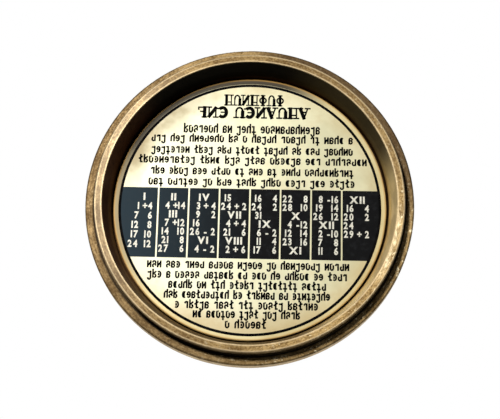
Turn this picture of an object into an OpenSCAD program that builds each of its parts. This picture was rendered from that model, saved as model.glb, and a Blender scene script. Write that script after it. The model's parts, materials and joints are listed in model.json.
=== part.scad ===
// Pocket sundial with compass: a turned brass case with a foot ring underneath, an etched plate inside
// the ring, a compass bowl on top, an hour ring around the glass, and a folding gnomon with a bird.
// Z points up in use, the foot ring rests on z = 0, and +Y is north, the way the gnomon points.

/* [Case] */
// Radius of the flange, the widest part
flange_r = 37.5; // [37:0.25:40]
// Outer radius of the foot ring
foot_r = 35.2; // [34.9:0.1:35.6]
// Radius of the foot ring's opening
opening_r = 33.3; // [33:0.1:33.5]
// Depth from the resting plane to the instruction plate
recess_depth = 5.9; // [5.4:0.1:6.2]
// Radius at the inner end of the recess wall
recess_foot_r = 31.75; // [31.6:0.05:32]
// Height of the flange's underside above the resting plane
flange_z = 3.0; // [2.6:0.1:3.4]
// Thickness of the flange
flange_t = 3.4; // [3:0.1:3.6]
// Radius at the hollow of the waist
waist_r = 33.0; // [32.4:0.1:33.4]
// Radius of the bead around the top
bead_r = 34.9; // [34.6:0.1:35.2]
// Height of the case without the gnomon
case_h = 17.9; // [17.8:0.1:18.4]

/* [Instruction plate] */
// Radius of the plate
plate_r = 31.4; // [31:0.1:31.5]
// Thickness of the plate
plate_t = 0.8; // [0.6:0.1:0.9]

/* [Compass] */
// Radius of the compass bowl
bowl_r = 22.4; // [22:0.1:22.6]
// Half the length of the needle
needle_half = 20; // [16:0.5:21]
// Radius of the glass
glass_r = 24.4; // [24.2:0.1:24.6]
// Thickness of the glass
glass_t = 1.5; // [1.2:0.1:1.5]

/* [Hour ring] */
// Latitude that the hour lines and the upright gnomon are laid out for, in degrees
latitude = 50; // [46:1:54]
// Outer radius of the ring
ring_r = 33.5; // [33.2:0.1:33.5]
// Inner radius of the ring
ring_inner_r = 22.6; // [22.5:0.1:23]
// Thickness of the ring
ring_t = 1.6; // [1.5:0.1:1.8]

/* [Gnomon] */
// Height of the folding axis above the hour ring
hinge_h = 2.9; // [2.8:0.1:3.4]
// Distance from the centre to the inner face of each hinge lug
lug_y = 25; // [24.8:0.1:25.4]
// Distance south of the centre of the blade's pivot
pivot_y = 19; // [18.5:0.25:19.5]
// Radius of the blade from its pivot to its arc
blade_r = 34; // [32:0.5:35]
// Thickness of the blade
blade_t = 1.2; // [1:0.1:1.2]
// Running clearance of the pivots, on the radius
running = 0.05; // [0.02:0.01:0.08]

/* [Hidden] */
$fn = 96;
cut = 1;

// Heights in the case, from the plate up to the glass
adhesive_t = 0.2;
recess_top = recess_depth + plate_t + adhesive_t;
floor_t = 2;
floor_z = recess_top + floor_t;
card_t = 0.4;
card_top = floor_z + card_t;
ring_z = case_h - 2;
ring_top = ring_z + ring_t;
gasket_t = 0.4;
glass_z = ring_z - glass_t;
ledge_z = glass_z - gasket_t;

// Pivot of the needle
post_r = 1.5;
collar_r = 3;
collar_t = 0.8;
post_top = card_top + 1.7;
pin_r = 0.4;
needle_z = card_top + 2.7;
needle_t = 0.35;
needle_hole_r = 1.5;
cap_r = 2.1;
jewel_r = 1.1;
cup_z = needle_z + 0.3;
cup_depth = 0.55;

// Folding gnomon
hinge_z = ring_top + hinge_h;
hinge_pin_r = 0.8;
lug_t = 2.8;
lug_r = 1.9;
end_gap = 0.1;
bar_end = lug_y - end_gap;
bar_w = 1.5;
bar_low = 1.2;
bar_high = 1;
pivot_z = hinge_z + 1.2;
pivot_r = 0.8;
eye_r = 1.6;
fork_w = 4;
fork_r = 2.1;
cheek_t = 0.9;
bird_feet = [12.8, 17.2];
bird_rivet_r = 0.5;
blade_low_angle = 14;

// The style meets the dial's surface south of the blade's pivot, where the hour lines start
style_foot_y = -pivot_y - (pivot_z - ring_top) / tan(latitude);
// Screws of the hour ring stand between the hour numbers, as azimuths from north
screw_azimuths = [52.6, 126, -126, -52.6];
screw_circle_r = 30.9;
screw_r = 0.8;
screw_head_r = 1.5;
screw_l = 4.5;
screw_gap = 0.3;
lug_screw_r = 0.6;
lug_screw_y = lug_y + lug_t / 2;

BRASS = [0.62, 0.5, 0.3];
DARK_BRASS = [0.45, 0.36, 0.22];
SILVERED = [0.85, 0.8, 0.66];
STEEL = [0.5, 0.52, 0.56];

// Section of a disc from the axis out to r, with its outer edges rounded by low_e below and high_e above
module disc_section(r, z0, z1, low_e, high_e) {
    translate([0, z0]) square([r - low_e, low_e]);
    translate([0, z0 + low_e]) square([r, z1 - z0 - low_e - high_e]);
    translate([0, z1 - high_e]) square([r - high_e, high_e]);
    translate([r - low_e, z0 + low_e]) circle(low_e);
    translate([r - high_e, z1 - high_e]) circle(high_e);
}

// Flat ring between two radii
module washer(outer_r, inner_r, z0, t) {
    translate([0, 0, z0]) linear_extrude(t) difference() {
        circle(outer_r);
        circle(inner_r);
    }
}

// Lays out a shape drawn in the meridian plane, with x as north and y as up, at a thickness centred on x = at
module in_meridian(t, at = 0) {
    translate([at - t / 2, 0, 0]) rotate([90, 0, 90]) linear_extrude(t) children();
}

// Short rod along X, centred on x = 0, at a place in the meridian plane
module cross_rod(r, length, north, up) {
    translate([0, north, up]) rotate([0, 90, 0]) cylinder(r = r, h = length, center = true);
}

// Countersunk slotted screw with its head's top face on z = 0 and its shank below
module countersunk_screw(r, head_r, length) {
    head_h = head_r - r;
    slot_w = 0.3;
    slot_depth = 0.3;
    difference() {
        union() {
            translate([0, 0, -head_h]) cylinder(r1 = r, r2 = head_r, h = head_h);
            translate([0, 0, -length]) cylinder(r = r, h = length - head_h / 2);
        }
        translate([-head_r - cut, -slot_w / 2, -slot_depth])
            cube([2 * (head_r + cut), slot_w, slot_depth + cut]);
    }
}

// Moulded outline of the case: foot ring, flange, hollow waist between two steps, and the top bead
module case_outline() {
    foot_edge = 0.3;
    flange_edge = 0.4;
    bead_edge = 1.2;
    step_r = bead_r - 0.6;
    hollow_r = 8;
    hollow_z = 10.9;
    disc_section(foot_r, 0, flange_z + cut, foot_edge, 0.1);
    disc_section(flange_r, flange_z, flange_z + flange_t, flange_edge, flange_edge);
    difference() {
        translate([0, flange_z + cut]) square([step_r, case_h - flange_z - 2 * cut]);
        translate([waist_r + hollow_r, hollow_z]) circle(hollow_r);
    }
    disc_section(bead_r, case_h - 2.9, case_h, bead_edge, bead_edge);
}

// Space inside the foot ring: a small chamfer at the mouth, the tapered wall and the seat of the plate
module recess_outline() {
    mouth = 0.15;
    polygon([
        [0, -cut],
        [opening_r + mouth, -cut],
        [opening_r + mouth, 0],
        [opening_r, mouth],
        [recess_foot_r, recess_depth],
        [recess_foot_r, recess_top],
        [0, recess_top]
    ]);
}

module case_body() {
    quirk_w = 0.5;
    quirk_depth = 0.35;
    head_clear_r = 2.4;
    head_clear_h = 0.6;
    color(BRASS) difference() {
        rotate_extrude() case_outline();
        rotate_extrude() recess_outline();
        washer(foot_r + quirk_w, foot_r - 0.01, flange_z - cut, cut + quirk_depth);
        translate([0, 0, floor_z]) cylinder(r = bowl_r, h = case_h);
        translate([0, 0, ledge_z]) cylinder(r = glass_r + 0.2, h = case_h);
        translate([0, 0, ring_z]) cylinder(r = ring_r + 0.1, h = case_h);
        translate([0, 0, recess_top - cut]) cylinder(r = post_r, h = floor_t + 2 * cut);
        translate([0, 0, recess_top - cut]) cylinder(r = head_clear_r, h = head_clear_h + cut);
        for (a = screw_azimuths)
            rotate([0, 0, -a]) translate([0, screw_circle_r, ring_top - screw_l - screw_gap])
                cylinder(r = screw_r, h = screw_l);
    }
}

// Etched plate: a flat disc with its lower edge rounded
module instruction_plate() {
    edge = 0.2;
    color(SILVERED) translate([0, 0, recess_depth]) rotate_extrude() {
        square([plate_r - edge, plate_t]);
        translate([0, edge]) square([plate_r, plate_t - edge]);
        translate([plate_r - edge, edge]) circle(edge);
    }
}

module plate_adhesive() {
    color("saddlebrown") translate([0, 0, recess_depth + plate_t])
        cylinder(r = plate_r - 0.7, h = adhesive_t);
}

module compass_card() {
    color("ivory") washer(bowl_r - 0.2, post_r, floor_z, card_t);
}

// Post with a riveted foot under the floor and a collar that clamps the card
module pivot_post() {
    foot_r = 2.3;
    foot_z = recess_top + 0.1;
    foot_t = 0.5;
    neck_r = 1;
    color(BRASS) difference() {
        union() {
            translate([0, 0, foot_z]) cylinder(r = foot_r, h = foot_t);
            translate([0, 0, foot_z]) cylinder(r = post_r, h = card_top - foot_z + collar_t / 2);
            translate([0, 0, card_top]) cylinder(r = collar_r, h = collar_t);
            translate([0, 0, card_top + collar_t])
                cylinder(r1 = post_r, r2 = neck_r, h = post_top - card_top - collar_t);
        }
        translate([0, 0, card_top]) cylinder(r = pin_r, h = post_top);
    }
}

module pivot_pin() {
    point_h = 0.7;
    point_z = cup_z + cup_depth - 0.1;
    color(STEEL) {
        translate([0, 0, card_top]) cylinder(r = pin_r, h = point_z - point_h - card_top);
        translate([0, 0, point_z - point_h]) cylinder(r1 = pin_r, r2 = 0.03, h = point_h);
    }
}

// Half the needle's width at a distance along an arm
function needle_half_w(at) = 2.7 * (1 - at / needle_half) + 0.15 * at / needle_half;

module needle() {
    tip_w = needle_half_w(needle_half);
    color(STEEL) translate([0, 0, needle_z]) linear_extrude(needle_t) difference() {
        polygon([
            [-needle_half_w(0), 0],
            [-tip_w, -needle_half],
            [tip_w, -needle_half],
            [needle_half_w(0), 0],
            [tip_w, needle_half],
            [-tip_w, needle_half]
        ]);
        circle(needle_hole_r);
    }
}

// Turned cap: a boss through the needle, a flange on top of it and a domed crown over the jewel
module needle_cap() {
    boss_z = needle_z - 0.1;
    needle_top = needle_z + needle_t;
    flange_h = 0.4;
    crown_h = 0.8;
    crown_r = 1.6;
    color(BRASS) difference() {
        union() {
            translate([0, 0, boss_z]) cylinder(r = needle_hole_r, h = needle_top - boss_z + flange_h);
            translate([0, 0, needle_top]) cylinder(r = cap_r, h = flange_h);
            translate([0, 0, needle_top + flange_h]) cylinder(r1 = crown_r, r2 = crown_r / 2, h = crown_h);
        }
        translate([0, 0, boss_z - cut]) cylinder(r = jewel_r, h = cup_z - boss_z + cup_depth + 0.25 + cut);
    }
}

module cap_jewel() {
    jewel_h = cup_depth + 0.25;
    color("firebrick") difference() {
        translate([0, 0, cup_z]) cylinder(r = jewel_r, h = jewel_h);
        translate([0, 0, cup_z]) cylinder(r1 = 0.8, r2 = 0.02, h = cup_depth);
    }
}

// Bent band that slides on the needle's south arm to level it
module balance_clip() {
    place = 9;
    length = 1.6;
    slot_w = needle_half_w(place - length / 2) + 0.02;
    wall = 0.3;
    color(BRASS) translate([0, -place, needle_z + needle_t / 2]) difference() {
        cube([2 * (slot_w + wall), length, needle_t + 2 * wall], center = true);
        cube([2 * slot_w, length + cut, needle_t], center = true);
    }
}

module glass_gasket() {
    color("dimgray") washer(glass_r, bowl_r + 0.1, ledge_z, gasket_t);
}

module compass_glass() {
    color([0.85, 0.92, 0.95, 0.35]) translate([0, 0, glass_z]) cylinder(r = glass_r, h = glass_t);
}

// Angle of an hour line from north, seen from the style's foot, for hours after noon
function hour_angle(hour) = atan2(sin(latitude) * sin(15 * hour), cos(15 * hour));

// Engraved lines that fan out from the style's foot, cut short by an inner and an outer circle
module hour_line_cutter() {
    line_w = 0.25;
    line_depth = 0.15;
    intersection() {
        washer(28.4, 24.4, ring_top - line_depth, line_depth + cut);
        for (hour = [-7:7])
            translate([0, style_foot_y, 0]) rotate([0, 0, -hour_angle(hour)])
                translate([-line_w / 2, 0, ring_top - 2 * line_depth])
                    cube([line_w, 2 * ring_r, 3 * cut]);
    }
}

module hour_ring() {
    chamfer = 0.7;
    head_h = screw_head_r - screw_r;
    lug_head_h = 0.7;
    color(SILVERED) difference() {
        rotate_extrude() polygon([
            [ring_inner_r, ring_z],
            [ring_r, ring_z],
            [ring_r, ring_top],
            [ring_inner_r + chamfer, ring_top],
            [ring_inner_r, ring_top - chamfer]
        ]);
        hour_line_cutter();
        for (a = screw_azimuths) rotate([0, 0, -a]) translate([0, screw_circle_r, 0]) {
            translate([0, 0, ring_z - cut]) cylinder(r = screw_r + 0.1, h = ring_t + 2 * cut);
            translate([0, 0, ring_top - head_h])
                cylinder(r1 = screw_r, r2 = screw_head_r + cut, h = head_h + cut);
        }
        for (side = [-1, 1]) translate([0, side * lug_screw_y, 0]) {
            translate([0, 0, ring_z - cut]) cylinder(r = lug_screw_r + 0.1, h = ring_t + 2 * cut);
            translate([0, 0, ring_z - cut])
                cylinder(r1 = lug_screw_r + lug_head_h + cut, r2 = lug_screw_r, h = lug_head_h + cut);
        }
    }
}

module hour_ring_screws() {
    color(BRASS) for (a = screw_azimuths)
        rotate([0, 0, -a]) translate([0, screw_circle_r, ring_top]) rotate([0, 0, 3 * a])
            countersunk_screw(screw_r, screw_head_r, screw_l);
}

// Lug on the hour ring with the bore for one hinge pin; side is 1 for north and -1 for south
module hinge_lug(side) {
    base_w = 5.6;
    base_h = 0.8;
    blind_depth = 1.4;
    color(BRASS) difference() {
        translate([0, side * (lug_y + lug_t / 2) + lug_t / 2, 0]) rotate([90, 0, 0]) linear_extrude(lug_t) {
            translate([-base_w / 2, ring_top]) square([base_w, base_h]);
            translate([-lug_r, ring_top]) square([2 * lug_r, hinge_h]);
            translate([0, hinge_z]) circle(lug_r);
        }
        translate([0, side * lug_screw_y, hinge_z]) rotate([90, 0, 0])
            cylinder(r = hinge_pin_r + running, h = lug_t + 2 * cut, center = true);
        translate([0, side * lug_screw_y, ring_top - cut]) cylinder(r = lug_screw_r, h = blind_depth + cut);
    }
}

module hinge_lug_north() { hinge_lug(1); }
module hinge_lug_south() { hinge_lug(-1); }

module lug_screws() {
    head_r = lug_screw_r + 0.7;
    length = 2.9;
    color(STEEL) for (side = [-1, 1])
        translate([0, side * lug_screw_y, ring_z]) rotate([180, 0, 0])
            countersunk_screw(lug_screw_r, head_r, length);
}

// Bar of the gnomon: a thin web between two end bosses, with a fork for the blade at the south end
module gnomon_bar() {
    boss_w = 3;
    boss_r = 1.4;
    boss_l = 2.6;
    slot_low = 0.5;
    pin_depth = 2.2;
    fork_l = 2 * fork_r;
    color(BRASS) difference() {
        union() {
            in_meridian(bar_w) translate([-bar_end, hinge_z - bar_low])
                square([2 * bar_end, bar_low + bar_high]);
            for (side = [-1, 1]) translate([0, side * (bar_end - boss_l / 2), hinge_z])
                cube([boss_w, boss_l, 2 * boss_r], center = true);
            in_meridian(fork_w) {
                translate([-pivot_y, pivot_z]) circle(fork_r);
                translate([-pivot_y - fork_r, hinge_z - bar_low]) square([fork_l, pivot_z - hinge_z + bar_low]);
            }
        }
        in_meridian(bar_w) translate([-pivot_y - fork_r + 0.2, hinge_z - slot_low])
            square([fork_l - 0.2 + cut, 3 * fork_r]);
        cross_rod(pivot_r, fork_w + cut, -pivot_y, pivot_z);
        for (place = bird_feet) cross_rod(bird_rivet_r, bar_w + cut, place, hinge_z);
        for (side = [-1, 1]) translate([0, side * (bar_end - pin_depth / 2 + cut / 2), hinge_z])
            rotate([90, 0, 0]) cylinder(r = hinge_pin_r, h = pin_depth + cut, center = true);
    }
}

module hinge_pins() {
    reach = 2.2;
    length = reach + end_gap + lug_t - 0.1;
    color(STEEL) for (side = [-1, 1])
        translate([0, side * (bar_end - reach + length / 2), hinge_z]) rotate([90, 0, 0])
            cylinder(r = hinge_pin_r, h = length, center = true);
}

// Sector between two radii and two angles, as an outline
module sector_outline(r0, r1, a0, a1) {
    steps = 24;
    angles = [for (i = [0:steps]) a0 + (a1 - a0) * i / steps];
    outer = [for (a = angles) [r1 * cos(a), r1 * sin(a)]];
    inner = r0 == 0 ? [[0, 0]] : [for (i = [0:steps]) [r0 * cos(angles[steps - i]), r0 * sin(angles[steps - i])]];
    polygon(concat(outer, inner));
}

// Blade of the gnomon: its upper straight edge is the style, and its arc carries the latitude scale
module gnomon_blade() {
    window_inner_r = 11;
    window_outer_r = blade_r - 6;
    rim_angle = 6;
    color(SILVERED) in_meridian(blade_t) translate([-pivot_y, pivot_z]) difference() {
        union() {
            sector_outline(0, blade_r, blade_low_angle, latitude);
            circle(eye_r);
        }
        sector_outline(window_inner_r, window_outer_r, blade_low_angle + rim_angle, latitude - rim_angle);
        circle(pivot_r + running);
    }
}

module blade_rivet() {
    head_r = 1.4;
    head_t = 0.5;
    color(STEEL) {
        cross_rod(pivot_r, fork_w, -pivot_y, pivot_z);
        for (side = [-1, 1]) translate([side * (fork_w + head_t) / 2, 0, 0])
            cross_rod(head_r, head_t, -pivot_y, pivot_z);
    }
}

module blade_washers() {
    outer_r = 1.45;
    t = 0.1;
    color("goldenrod") for (side = [-1, 1])
        in_meridian(t, side * (bar_w + blade_t) / 4) translate([-pivot_y, pivot_z]) difference() {
            circle(outer_r);
            circle(pivot_r + 0.02);
        }
}

// Outline of the perching bird in the meridian plane, facing south, with its feet on the bar
module bird_outline() {
    head = [11.4, 16.6];
    head_r = 2.3;
    beak_tip = [7.7, 17.4];
    breast = [13.4, 11.8];
    belly = [15.6, 9.4];
    rump = [18.4, 8.6];
    tail_tip = [23.2, 10.6];
    leg_w = 0.9;
    difference() {
        union() {
            hull() {
                translate(head) circle(head_r, $fn = 48);
                translate(breast) circle(3.5, $fn = 48);
            }
            hull() {
                translate(breast) circle(3.5, $fn = 48);
                translate(belly) circle(3.3, $fn = 48);
                translate(rump) circle(1.7, $fn = 48);
            }
            hull() {
                translate(rump) circle(1.6, $fn = 48);
                translate(tail_tip) circle(1, $fn = 48);
            }
            polygon([head + [-0.6, head_r], beak_tip, beak_tip + [0.2, -0.5], head + [-1.2, -head_r + 0.4]]);
            for (place = bird_feet)
                translate([place - leg_w / 2 + (15 - place) * 0.2, 0]) square([leg_w, 8]);
            translate([bird_feet[0] - 1.6, -bar_low])
                square([bird_feet[1] - bird_feet[0] + 3.2, bar_low + bar_high]);
        }
        for (place = bird_feet) translate([place, 0]) circle(bird_rivet_r);
    }
}

module bird_half(side) {
    color(BRASS) in_meridian(cheek_t, side * (bar_w + cheek_t) / 2) translate([0, hinge_z]) bird_outline();
}

module bird_east() { bird_half(1); }
module bird_west() { bird_half(-1); }

module bird_rivets() {
    grip = bar_w + 2 * cheek_t;
    head_r = 0.85;
    head_t = 0.35;
    color(STEEL) for (place = bird_feet) {
        cross_rod(bird_rivet_r, grip, place, hinge_z);
        for (side = [-1, 1]) translate([side * (grip + head_t) / 2, 0, 0])
            cross_rod(head_r, head_t, place, hinge_z);
    }
}

case_body();
instruction_plate();
plate_adhesive();
compass_card();
pivot_post();
pivot_pin();
needle();
needle_cap();
cap_jewel();
balance_clip();
glass_gasket();
compass_glass();
hour_ring();
hour_ring_screws();
hinge_lug_north();
hinge_lug_south();
lug_screws();
gnomon_bar();
hinge_pins();
gnomon_blade();
blade_rivet();
blade_washers();
bird_east();
bird_west();
bird_rivets();
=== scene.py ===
"""Looks of a pocket sundial with compass: an aged brass case with an etched plate underneath, a compass
and an hour ring on top, and a folding gnomon with a bird. Lengths are millimetres until a mesh is made."""

import functools
import json
import math
import random

import bmesh
import bpy
from mathutils import Matrix, Vector
from mathutils.geometry import delaunay_2d_cdt

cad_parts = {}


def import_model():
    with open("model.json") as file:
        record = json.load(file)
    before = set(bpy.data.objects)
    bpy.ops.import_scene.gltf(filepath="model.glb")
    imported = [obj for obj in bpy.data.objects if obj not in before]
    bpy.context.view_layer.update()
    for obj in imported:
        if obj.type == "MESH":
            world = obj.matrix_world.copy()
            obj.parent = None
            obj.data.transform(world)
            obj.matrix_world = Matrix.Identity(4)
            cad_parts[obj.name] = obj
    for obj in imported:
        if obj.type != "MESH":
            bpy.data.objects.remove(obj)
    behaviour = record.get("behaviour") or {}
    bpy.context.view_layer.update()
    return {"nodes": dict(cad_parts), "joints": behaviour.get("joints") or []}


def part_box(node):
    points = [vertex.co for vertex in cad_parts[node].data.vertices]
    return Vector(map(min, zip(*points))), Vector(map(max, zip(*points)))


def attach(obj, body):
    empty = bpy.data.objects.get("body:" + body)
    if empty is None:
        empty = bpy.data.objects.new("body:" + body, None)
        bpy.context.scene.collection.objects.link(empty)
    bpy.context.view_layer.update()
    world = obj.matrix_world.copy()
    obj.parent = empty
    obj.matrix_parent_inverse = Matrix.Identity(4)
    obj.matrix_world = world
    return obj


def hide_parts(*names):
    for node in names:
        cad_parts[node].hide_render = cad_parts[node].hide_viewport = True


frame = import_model()
MM = 0.001


# ---- sizes that come from the frame


def node_box(node):
    """Lowest and highest corner of a CAD node in millimetres."""
    low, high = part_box(node)
    return low / MM, high / MM


PLATE_FACE = node_box("instruction_plate")[0].z
RING_TOP = node_box("hour_ring")[1].z
CARD_R, _, CARD_TOP = node_box("compass_card")[1]
BLADE_FACE, _, BLADE_TOP = node_box("gnomon_blade")[1]
BLADE_PIVOT = Vector(next(j for j in frame["joints"] if j["name"] == "latitude_tilt")["pos_m"]) / MM


# ---- meshes


def add_object(name, data):
    """Adds an object to the scene."""
    made = bpy.data.objects.new(name, data)
    bpy.context.scene.collection.objects.link(made)
    return made


def add_piece(name, vertices, faces, body, material, sharp_deg=30):
    """Adds a closed mesh whose vertices are in millimetres, riding on a body."""
    mesh = bpy.data.meshes.new(name)
    mesh.from_pydata([Vector(v) * MM for v in vertices], [], faces)
    shell = bmesh.new()
    shell.from_mesh(mesh)
    bmesh.ops.recalc_face_normals(shell, faces=shell.faces)
    shell.to_mesh(mesh)
    shell.free()
    mesh.shade_smooth()
    mesh.set_sharp_from_angle(angle=math.radians(sharp_deg))
    mesh.materials.append(material)
    piece = add_object(name, mesh)
    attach(piece, body)
    return piece


def arc(centre, radius, start, end, steps):
    """Points along a circle or an ellipse, between two angles in degrees."""
    rx, ry = radius if isinstance(radius, tuple) else (radius, radius)
    angles = [math.radians(start + (end - start) * i / steps) for i in range(steps + 1)]
    return [(centre[0] + rx * math.cos(a), centre[1] + ry * math.sin(a)) for a in angles]


def open_edges(triangles):
    """Edges that have a triangle on one side only, each in its triangle's direction."""
    edges = [edge for a, b, c in triangles for edge in ((a, b), (b, c), (c, a))]
    present = set(edges)
    return [(a, b) for a, b in edges if (b, a) not in present]


class Inlay:
    """Flat shapes of one thickness, drawn in a plane and gathered into one mesh of closed shells."""

    def __init__(self, place, thickness):
        """place turns a point (u, v) in the plane and a height above it into a point in millimetres."""
        self.place = place
        self.thickness = thickness
        self.vertices = []
        self.faces = []

    def _points(self, points, height):
        """Adds points at one height and returns their numbers."""
        first = len(self.vertices)
        self.vertices += [self.place(u, v, height) for u, v in points]
        return range(first, len(self.vertices))

    def strip(self, left, right, closed=False):
        """Solid between two lines that have the same number of points."""
        top = self.thickness
        lines = [self._points(*line) for line in ((left, 0), (left, top), (right, top), (right, 0))]
        count = len(left)
        for i in range(count if closed else count - 1):
            j = (i + 1) % count
            for a, b in zip(lines, lines[1:] + lines[:1]):
                self.faces.append((a[i], a[j], b[j], b[i]))
        if not closed:
            self.faces += [tuple(line[i] for line in lines) for i in (0, count - 1)]

    def ring(self, centre, radius, width, steps=256):
        """Circular line."""
        inner = arc(centre, radius - width / 2, 0, 360, steps)[:-1]
        outer = arc(centre, radius + width / 2, 0, 360, steps)[:-1]
        self.strip(inner, outer, closed=True)

    def stroke(self, points, width):
        """Line of even width along points, with square ends a little past the last points."""
        past_end = 0.6
        points = [Vector(p) for p in points]
        left, right = [], []
        for i, point in enumerate(points):
            ahead = points[min(i + 1, len(points) - 1)] - points[max(i - 1, 0)]
            along = ahead.normalized() * width / 2
            side = Vector((-along.y, along.x))
            if i == 0:
                point = point - along * past_end
            if i == len(points) - 1:
                point = point + along * past_end
            left.append(point + side)
            right.append(point - side)
        self.strip(left, right)

    def flat(self, points, triangles):
        """Solid on a triangulated flat shape."""
        low, top = self._points(points, 0), self._points(points, self.thickness)
        for a, b, c in triangles:
            self.faces.append((top[a], top[b], top[c]))
            self.faces.append((low[a], low[c], low[b]))
        for a, b in open_edges(triangles):
            self.faces.append((top[b], top[a], low[a], low[b]))

    def piece(self, name, body, slot, material):
        """Turns what was drawn into a piece."""
        return add_piece(name, self.vertices, self.faces, body, material)


# ---- numerals

FONT_CAP_H = 0.682


@functools.cache
def glyph(character, weight):
    """Points and triangles of one numeral at a height of 1, with its lower left corner at (0, 0)."""
    curve = bpy.data.curves.new("glyph", "FONT")
    curve.body = character
    curve.dimensions = "2D"
    curve.fill_mode = "FRONT"
    curve.resolution_u = 2
    curve.offset = weight
    holder = add_object("glyph", curve)
    bpy.context.view_layer.update()
    evaluated = holder.evaluated_get(bpy.context.evaluated_depsgraph_get())
    mesh = bpy.data.meshes.new_from_object(evaluated)
    mesh.calc_loop_triangles()
    left = min(v.co.x for v in mesh.vertices)
    points = [((v.co.x - left) / FONT_CAP_H, v.co.y / FONT_CAP_H) for v in mesh.vertices]
    triangles = [tuple(t.vertices) for t in mesh.loop_triangles]
    bpy.data.objects.remove(holder)
    bpy.data.curves.remove(curve)
    bpy.data.meshes.remove(mesh)
    return points, triangles


def write_number(inlay, text, at, height, align=0.5, turn=0, narrow=0.8, weight=0.02, gap=0.2):
    """Draws numerals: align 0 starts them at the point, 0.5 centres them and 1 ends them there. A negative
    narrow draws them mirrored, for a face whose u runs to the reader's left."""
    shapes = [glyph(character, weight) for character in text]
    widths = [max(p[0] for p in points) for points, _ in shapes]
    gap_w = math.copysign(gap * height, narrow)
    total = sum(widths) * narrow * height + gap_w * (len(text) - 1)
    turned = Matrix.Rotation(turn, 2)
    x = -align * total
    for (points, triangles), width in zip(shapes, widths):
        placed = [Vector((x + px * narrow * height, py * height)) for px, py in points]
        inlay.flat([Vector(at) + turned @ point for point in placed], triangles)
        x += width * narrow * height + gap_w


# ---- materials


def linear(red, green, blue):
    """Linear colour of an sRGB colour given from 0 to 255."""
    levels = [value / 255 for value in (red, green, blue)]
    return tuple(((v + 0.055) / 1.055) ** 2.4 if v > 0.04 else v / 12.92 for v in levels) + (1.0,)


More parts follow.
